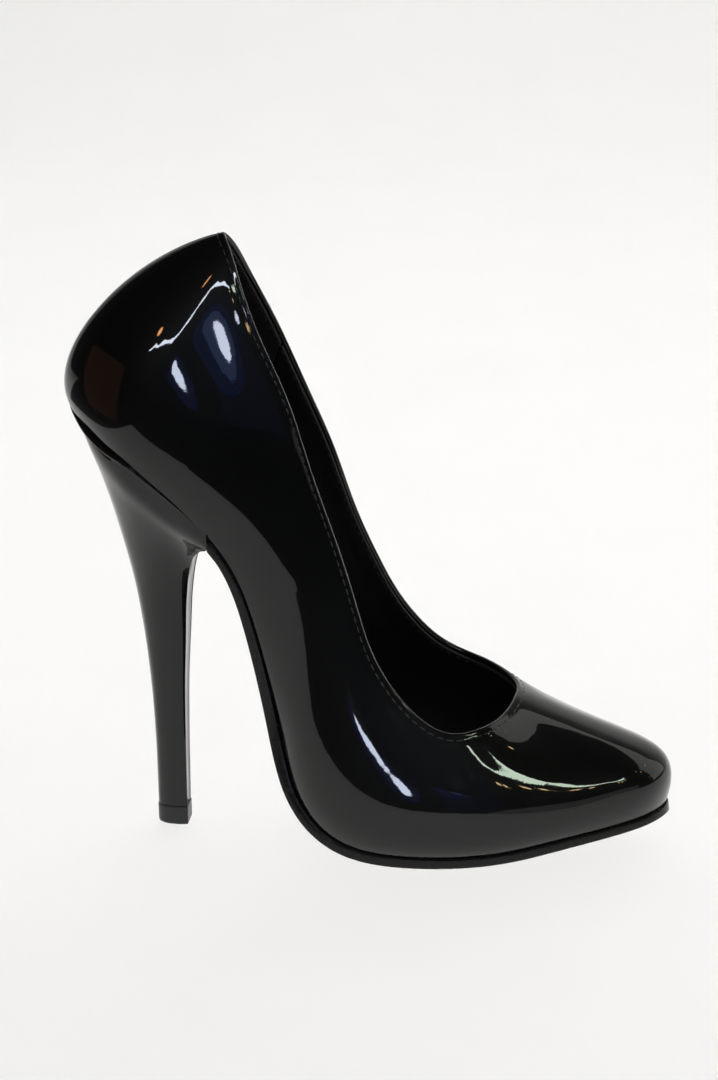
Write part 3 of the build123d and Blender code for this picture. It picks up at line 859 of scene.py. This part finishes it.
def lay_stitches(name, rows, material, p):
    """Turns rows of stitch places into one plain mesh of threads."""
    middle, along, outward = (np.concatenate([row[i] for row in rows]) for i in range(3))
    carrier = bpy.data.meshes.new(name + "_places")
    carrier.from_pydata([tuple(v) for v in middle * MM], [], [])
    for key, value in (("along", along), ("outward", outward)):
        attribute = carrier.attributes.new(key, "FLOAT_VECTOR", "POINT")
        attribute.data.foreach_set("vector", value.astype(np.float32).ravel())
    holder = bpy.data.objects.new(name + "_places", carrier)
    bpy.context.scene.collection.objects.link(holder)
    tree, values = stitch_tree(material, p)
    modifier = holder.modifiers.new("Stitches", "NODES")
    modifier.node_group = tree
    for identifier, value in values.items():
        modifier[identifier] = value
    bpy.context.view_layer.update()
    graph = bpy.context.evaluated_depsgraph_get()
    grown = holder.evaluated_get(graph)
    mesh = bpy.data.meshes.new_from_object(grown, preserve_all_data_layers=True, depsgraph=graph)
    holder.modifiers.remove(modifier)
    bpy.data.objects.remove(holder)
    mesh.name = name
    obj = bpy.data.objects.new(name, mesh)
    bpy.context.scene.collection.objects.link(obj)
    mesh.shade_smooth()
    if not mesh.materials:
        mesh.materials.append(material)
    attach(obj, "root")
    return obj


def topline_row(p, inside=False):
    points, normals = [], []
    for station in np.linspace(0.06, AROUND - 0.06, 700):
        u = place(station)
        v = below_top(u, [p.stitch_inset])
        out = wall_normal(u, v)[0]
        depth = 2.83 if inside else 0.06
        points.append(skin(u, v)[0] - depth * out)
        normals.append(-out if inside else out)
    return stitch_row(points, normals, p.stitch_pitch)


def grip_rows(p, station, depth):
    """Rows of stitches up the two front edges of the heel grip."""
    points, normals = [], []
    u = place(station)
    for v in np.linspace(0.2, below_top(u, [3.0])[0], 80):
        out = wall_normal(u, [v])[0]
        points.append(skin(u, [v])[0] - depth * out)
        normals.append(-out)
    return stitch_row(points, normals, p.stitch_pitch)


# --- settings and operators ----------------------------------------------------------------------


def real(name, description, default, low=0.0, high=100.0):
    return FloatProperty(name=name, description=description, default=default, min=low, max=high)


class PumpUpperSettings(PropertyGroup):
    fold_radius: real("Fold radius", "Radius of the folded topline edge, in mm", 0.99)
    seam_depth: real("Seam depth", "Depth of the groove of the back seam, in mm", 0.35)
    seam_width: real("Seam width", "Half width of that groove, in mm", 0.45)
    seam_pitch: real("Seam scale", "Millimetres along the wall in one station beside the seam", 9.0)
    stitch_inset: real("Stitch inset", "Distance of the stitches from the topline, in mm", 2.3)


class PumpBottomSettings(PropertyGroup):
    sock_crown: real("Sock crown", "Rise of the padded sock's middle, in mm", 0.35)


class PumpHeelSettings(PropertyGroup):
    rim_height: real("Rim height", "Height of the bead round the seat at the back, in mm", 2.6)
    rim_lip: real("Rim lip", "How far that bead stands out, in mm", 0.75)
    cover: real("Cover", "Thickness of the heel cover, in mm", 0.7)
    breast_hollow: real("Breast hollow", "Depth of the hollow down the breast, in mm", 0.5)


class PumpStitchSettings(PropertyGroup):
    stitch_inset: real("Stitch inset", "Distance of the stitches from the topline, in mm", 2.3)
    stitch_pitch: real("Pitch", "Distance between stitches, in mm", 3.0)
    stitch_length: real("Length", "Length of one stitch, in mm", 2.5)
    thread_radius: real("Thread radius", "Radius of the thread, in mm", 0.2)
    seed: IntProperty(name="Seed", description="Seed of the stitches' small turns", default=7)


class PumpStageSettings(PropertyGroup):
    camera_at: FloatVectorProperty(
        name="Camera place", description="Where the camera stands", default=(0.12832, -0.99881, 0.44172),
        size=3, unit="LENGTH",
    )
    yaw: real("Yaw", "Turn of the camera round the vertical, in degrees", 7.5, -180, 180)
    tilt: real("Tilt", "How far the camera looks down, in degrees", 19.0, -90, 90)
    roll: real("Roll", "Roll of the camera, in degrees", -0.7, -90, 90)
    lens: real("Lens", "Focal length for a 24 mm high sensor, in mm", 77.93, 1, 1000)


class PUMP_OT_upper(Operator):
    """Builds the patent leather upper with its folded topline and back seam"""

    bl_idname = "pump.upper"
    bl_label = "Upper"

    def execute(self, context):
        build_upper(context.scene.pump_upper)
        return {"FINISHED"}


class PUMP_OT_linings(Operator):
    """Builds the heel grip, the quarter linings and the vamp lining"""

    bl_idname = "pump.linings"
    bl_label = "Linings"

    def execute(self, context):
        leather = lining_leather("Lining leather, black")
        grip = lining_leather("Heel grip suede, black", "0d0c0c", 0.72)
        build_lining("heel_grip_suede", -3.3, 3.3, "heel_grip", grip)
        build_lining("quarter_lining_outer", 3.35, 7.0, "quarter_lining_lateral", leather)
        build_lining("quarter_lining_inner", 23.0, 26.65, "quarter_lining_medial", leather)
        build_lining("vamp_lining_leather", 7.005, 22.995, "vamp_lining", leather)
        return {"FINISHED"}


class PUMP_OT_bottom(Operator):
    """Builds the padded sock and the leather outsole"""

    bl_idname = "pump.bottom"
    bl_label = "Sock and sole"

    def execute(self, context):
        build_sock(context.scene.pump_bottom)
        build_outsole(context.scene.pump_bottom)
        return {"FINISHED"}


class PUMP_OT_heel(Operator):
    """Builds the heel's patent covers and the top piece"""

    bl_idname = "pump.heel"
    bl_label = "Heel"

    def execute(self, context):
        settings = context.scene.pump_heel
        build_heel(settings)
        build_breast(settings)
        build_top_piece(settings)
        return {"FINISHED"}


class PUMP_OT_stitches(Operator):
    """Lays the stitches round the topline and up the heel grip"""

    bl_idname = "pump.stitches"
    bl_label = "Stitches"

    def execute(self, context):
        p = context.scene.pump_stitches
        thread = waxed_thread("Waxed nylon thread, black")
        lay_stitches("topline_stitches", [topline_row(p), topline_row(p, inside=True)], thread, p)
        rows = [grip_rows(p, k, 2.52) for k in (3.18, AROUND - 3.18)]
        lay_stitches("heel_grip_stitches", rows, thread, p)
        return {"FINISHED"}


class PUMP_OT_inside(Operator):
    """Gives the hidden CAD pieces their own materials"""

    bl_idname = "pump.inside"
    bl_label = "Inner pieces"

    def execute(self, context):
        board = hidden_stock("Fibre board, brown", "7c6345", "8f7552", 1.2, 0.05)
        felt = hidden_stock("Felt, grey", "5a544c", "6b655c", 1.5, 0.15, 0.95)
        cloth = hidden_stock("Stiffened cloth, cream", "cfc5b0", "ddd4c2", 0.8, 0.06, 0.9)
        foam = hidden_stock("Latex foam, cream", "c9bb98", "d8ccad", 0.6, 0.2, 0.95)
        steel = hidden_stock("Rolled steel", "8b8c8e", "9b9c9e", 4.0, 0.01, 0.35, 1.0)
        plastic = hidden_stock("Moulded polystyrene, grey", "9d9d99", "a6a6a2", 3.0, 0.02, 0.5)
        kinds = {
            "heel_counter": cloth, "toe_puff": cloth, "side_backing_lateral": cloth,
            "side_backing_medial": cloth, "topline_tape": cloth, "insole_board": board,
            "shank_board": board, "steel_shank": steel, "shank_rivets": steel, "sock_foam": foam,
            "bottom_filler": felt, "heel_core": plastic, "heel_tube": steel, "heel_screw": steel,
            "heel_nails": steel, "top_piece_pin": steel,
        }
        for name, material in kinds.items():
            mesh = FRAME["nodes"][name].data
            for i in range(len(mesh.materials)):
                mesh.materials[i] = material
            if not mesh.materials:
                mesh.materials.append(material)
        return {"FINISHED"}


def stage_material(name, code, roughness):
    """Painted paper sweep: one tone with the faint mottle of a rolled paper."""
    material, tree, shader, where = new_material(name)
    mottle = noise(tree, where, 60.0, 3.0)
    fine = noise(tree, where, 1.0, 3.0)
    tree.links.new(mix_colour(tree, mottle, colour(code), colour("f7f6f4")), shader.inputs["Base Color"])
    tree.links.new(bump(tree, fine, 0.05, 0.2), shader.inputs["Normal"])
    shader.inputs["Roughness"].default_value = roughness
    shader.inputs["Specular IOR Level"].default_value = 0.2
    return material


def build_sweep():
    """Floor and backdrop in one curved sheet; its front edge is cut back on the left."""
    outline = [(-2.2, 0.9), (-2.2, 0.2), (-0.37, 0.2), (-0.37, -0.40)]
    outline += [(-0.08, -0.40), (0.35, -1.0), (2.2, -1.3), (2.2, 0.9)]
    points = [(x, y, 0.0) for x, y in outline]
    faces = [tuple(range(len(points)))]
    turn = np.radians(np.arange(0, 91, 5))
    profile = [(0.9 + 0.6 * math.sin(a), 0.6 - 0.6 * math.cos(a)) for a in turn]
    profile.append((1.5, 2.3))
    start = len(points)
    for y, z in profile:
        points += [(-2.2, y, z), (2.2, y, z)]
    for i in range(start, len(points) - 2, 2):
        faces.append((i, i + 1, i + 3, i + 2))
    mesh = bpy.data.meshes.new("sweep")
    mesh.from_pydata([(x, y, z - 0.00005) for x, y, z in points], [], faces)
    mesh.shade_smooth()
    obj = bpy.data.objects.new("sweep", mesh)
    bpy.context.scene.collection.objects.link(obj)
    paint(obj, stage_material("Paper sweep, white", "f4f3f1", 0.7))
    return obj


def area_light(name, at, aim, size, power, shadows=False):
    """A large soft light at a place, turned to a point; the lacquer doesn't mirror it."""
    data = bpy.data.lights.new(name, "AREA")
    data.shape, data.size, data.size_y = "RECTANGLE", size[0], size[1]
    data.energy = power
    data.use_shadow = shadows
    data.cycles.use_multiple_importance_sampling = shadows
    obj = bpy.data.objects.new(name, data)
    bpy.context.scene.collection.objects.link(obj)
    obj.location = at
    obj.rotation_euler = (Vector(aim) - Vector(at)).to_track_quat("-Z", "Y").to_euler()
    obj.visible_glossy = False
    return obj


def heading(azimuth, height, far):
    """Point of the room at an azimuth from the front and a height, both in degrees."""
    a, h = math.radians(azimuth), math.radians(height)
    out = (math.sin(a) * math.cos(h), -math.cos(a) * math.cos(h), math.sin(h))
    return tuple(far * c + lift for c, lift in zip(out, (0.0, 0.0, 0.1)))


def card(name, faces, tint, strength):
    """A card in the room, glowing or black, seen only as a reflection; faces are lists of points."""
    points, numbered = [], []
    for face in faces:
        numbered.append(tuple(range(len(points), len(points) + len(face))))
        points += face
    mesh = bpy.data.meshes.new(name)
    mesh.from_pydata(points, [], numbered)
    obj = bpy.data.objects.new(name, mesh)
    bpy.context.scene.collection.objects.link(obj)
    material = bpy.data.materials.new(name)
    material.use_nodes = True
    tree = material.node_tree
    tree.nodes.clear()
    light = node(tree, "ShaderNodeEmission", {"Color": colour(tint), "Strength": strength})
    out = node(tree, "ShaderNodeOutputMaterial")
    tree.links.new(light.outputs[0], out.inputs["Surface"])
    paint(obj, material)
    obj.visible_diffuse = False
    obj.visible_camera = False
    obj.visible_shadow = False


def glow(name, faces, tint, strength, far=8.0):
    """A glowing card at a distance, its faces given as headings."""
    card(name, [[heading(*spot, far) for spot in face] for face in faces], tint, strength)


def build_flag():
    """A black card in front of the forefoot that keeps the lamps' reflections off it."""
    corners = [(-0.075, 0.09), (0.0, 0.058), (0.085, 0.045), (0.085, 0.14), (-0.075, 0.14)]
    card("flag", [[(x, -0.12, z) for x, z in corners]], "000000", 0.0)


def disc(azimuth, height, wide, high, lean=0.0):
    """Outline of an oval patch of the room."""
    spots = []
    for a in np.radians(np.arange(0, 360, 30)):
        x, y = wide * math.cos(a), high * math.sin(a)
        across, up = x * math.cos(lean) - y * math.sin(lean), x * math.sin(lean) + y * math.cos(lean)
        spots.append((azimuth + across, height + up))
    return spots


def ribbon(path, half_widths):
    """Quads along a path of headings, as wide as given at each."""
    path = np.array(path, float)
    along = unit(np.gradient(path, axis=0))
    side = np.stack([-along[:, 1], along[:, 0]], axis=1) * np.array(half_widths)[:, None]
    left, right = path + side, path - side
    quads = []
    for i in range(len(path) - 1):
        quads.append([tuple(spot) for spot in (left[i], right[i], right[i + 1], left[i + 1])])
    return quads


KEY_POWER = 36
SHADOW_POWER = 1.5
WASH_POWER = 7


def build_lights():
    """Soft light from over the shoe, most of it without shadows, and a wash on the backdrop."""
    area_light("overhead", (0.1, 0.0, 1.7), (0.1, 0.0, 0.0), (2.4, 2.0), KEY_POWER)
    area_light("overhead_shadowing", (0.0, 0.1, 1.7), (0.0, 0.1, 0.0), (2.2, 1.8), SHADOW_POWER, True)
    area_light("backdrop_wash", (0.0, 0.2, 1.6), (0.0, 1.5, 0.7), (2.6, 0.6), WASH_POWER)


def build_reflections():
    """What the lacquer mirrors from the rest of the room: windows, lamps, hazes and pale walls."""
    build_flag()
    streak = [(-38, 23), (-34, 25), (-30, 24), (-26, 25), (-20, 24), (-15, 23), (-11, 25), (-7, 30)]
    streak += [(-5, 34), (-3, 38), (1, 42), (5, 43), (10, 41), (15, 40), (20, 37), (25, 35)]
    widths = [0.3, 0.9, 0.5, 1.1, 0.6, 1.3, 0.7, 1.2, 0.6, 1.4, 0.8, 1.5, 0.9, 1.3, 0.7, 0.9]
    glow("window", ribbon(streak, widths), "e6f0ff", 28)
    far_streak = [(32, 36), (34, 34), (38, 31.5), (43, 30), (47, 31), (51, 33), (55, 36)]
    glow("window_far", ribbon(far_streak, [0.7, 0.8, 0.6, 0.5, 0.7, 0.9, 0.8]), "e9ffe6", 20)
    glow("warm_lamps", [disc(-13, 49, 3.4, 1.0, 0.9), disc(-37, 31, 1.8, 1.8)], "ffb070", 24)
    cool = [disc(-3, 8.5, 1.6, 2.8), disc(16, 19, 2.0, 3.2), disc(25, 24, 1.3, 1.3)]
    glow("cool_lamps", cool, "dfe9ff", 24)
    glow("cool_halo", [disc(15, 19, 5.0, 6.5)], "8fb0ff", 1.3, 8.6)
    glow("cool_halo_wide", [disc(14, 19, 9.0, 10.0), disc(-3, 8, 4.0, 5.5)], "5f80ff", 0.35, 9.0)
    dots = [(24, 33), (26, 29), (38, 24), (40, 24), (46, 27), (49, 28), (53, 31)]
    dots += [(107, 42), (83, 44), (87, 39), (89, 18)]
    glow("small_lamps", [disc(a, h, 0.7, 0.7) for a, h in dots], "ffd9a0", 20)
    glow("blue_haze", [[(8, 0), (32, 0), (30, 30), (10, 30)]], "6f8fe0", 0.12, 10.0)
    glow("warm_haze", [[(-88, -14), (-55, -14), (-55, 16), (-88, 16)]], "e0a080", 0.22, 10.0)
    far_wall = [(92, 4), (150, 4), (150, 50), (128, 54), (108, 50), (92, 44)]
    glow("far_wall", [far_wall], "f6f6f2", 1.25, 10.0)
    glow("low_wall", [[(16, -6), (62, -6), (64, 10), (45, 9), (34, 4)]], "d8d8d4", 0.6, 9.0)


def build_world():
    world = bpy.data.worlds.new("Studio")
    bpy.context.scene.world = world
    world.use_nodes = True
    tree = world.node_tree
    tree.nodes.clear()
    shade = node(tree, "ShaderNodeBackground", {"Color": (1.0, 1.0, 1.0, 1.0), "Strength": 0.012})
    out = node(tree, "ShaderNodeOutputWorld")
    tree.links.new(shade.outputs[0], out.inputs[0])
    bpy.context.scene.view_settings.view_transform = "Standard"


def build_camera(p):
    yaw, tilt, roll = (math.radians(a) for a in (p.yaw, p.tilt, p.roll))
    forward = Vector((-math.sin(yaw) * math.cos(tilt), math.cos(yaw) * math.cos(tilt), -math.sin(tilt)))
    right = Vector((math.cos(yaw), math.sin(yaw), 0.0))
    up = right.cross(forward)
    right, up = right * math.cos(roll) + up * math.sin(roll), up * math.cos(roll) - right * math.sin(roll)
    data = bpy.data.cameras.new("camera")
    data.sensor_fit, data.sensor_height, data.lens = "VERTICAL", 24.0, p.lens
    data.clip_start, data.clip_end = 0.05, 20.0
    obj = bpy.data.objects.new("camera", data)
    bpy.context.scene.collection.objects.link(obj)
    turn = Matrix((right, up, -forward)).transposed().to_4x4()
    obj.matrix_world = Matrix.Translation(Vector(p.camera_at)) @ turn
    bpy.context.scene.camera = obj


class PUMP_OT_stage(Operator):
    """Sets up the paper sweep, the lights and the camera"""

    bl_idname = "pump.stage"
    bl_label = "Stage"

    def execute(self, context):
        build_sweep()
        build_reflections()
        build_lights()
        build_world()
        build_camera(context.scene.pump_stage)
        return {"FINISHED"}


class PUMP_PT_panel(Panel):
    """Buttons that build the shoe piece by piece"""

    bl_label = "High heel pump"
    bl_idname = "PUMP_PT_panel"
    bl_space_type = "VIEW_3D"
    bl_region_type = "UI"
    bl_category = "Pump"

    def draw(self, context):
        for name, operators in GROUPS.items():
            box = self.layout.box()
            settings = getattr(context.scene, name, None)
            if settings is not None:
                for key in settings.__annotations__:
                    box.prop(settings, key)
            for operator in operators:
                box.operator(operator)


GROUPS = {
    "pump_upper": ["pump.upper", "pump.linings"],
    "pump_bottom": ["pump.bottom"],
    "pump_heel": ["pump.heel"],
    "pump_stitches": ["pump.stitches", "pump.inside"],
    "pump_stage": ["pump.stage"],
}
SETTINGS = {
    "pump_upper": PumpUpperSettings,
    "pump_bottom": PumpBottomSettings,
    "pump_heel": PumpHeelSettings,
    "pump_stitches": PumpStitchSettings,
    "pump_stage": PumpStageSettings,
}
CLASSES = [
    *SETTINGS.values(),
    PUMP_OT_upper,
    PUMP_OT_linings,
    PUMP_OT_bottom,
    PUMP_OT_heel,
    PUMP_OT_stitches,
    PUMP_OT_inside,
    PUMP_OT_stage,
    PUMP_PT_panel,
]


def register():
    for item in CLASSES:
        bpy.utils.register_class(item)
    for name, kind in SETTINGS.items():
        setattr(bpy.types.Scene, name, PointerProperty(type=kind))


def unregister():
    for name in SETTINGS:
        delattr(bpy.types.Scene, name)
    for item in reversed(CLASSES):
        bpy.utils.unregister_class(item)


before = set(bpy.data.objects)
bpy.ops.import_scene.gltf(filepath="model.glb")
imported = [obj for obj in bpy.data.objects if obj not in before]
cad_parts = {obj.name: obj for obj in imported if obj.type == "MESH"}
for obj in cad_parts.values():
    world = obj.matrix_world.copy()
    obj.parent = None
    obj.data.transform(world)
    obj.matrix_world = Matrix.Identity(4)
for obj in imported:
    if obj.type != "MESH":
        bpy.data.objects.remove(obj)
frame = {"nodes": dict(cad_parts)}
FRAME = frame


def main():
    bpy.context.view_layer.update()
    register()
    bpy.ops.pump.upper()
    bpy.ops.pump.linings()
    bpy.ops.pump.bottom()
    bpy.ops.pump.heel()
    bpy.ops.pump.stitches()
    bpy.ops.pump.inside()
    bpy.ops.pump.stage()


if __name__ == "__main__":
    main()
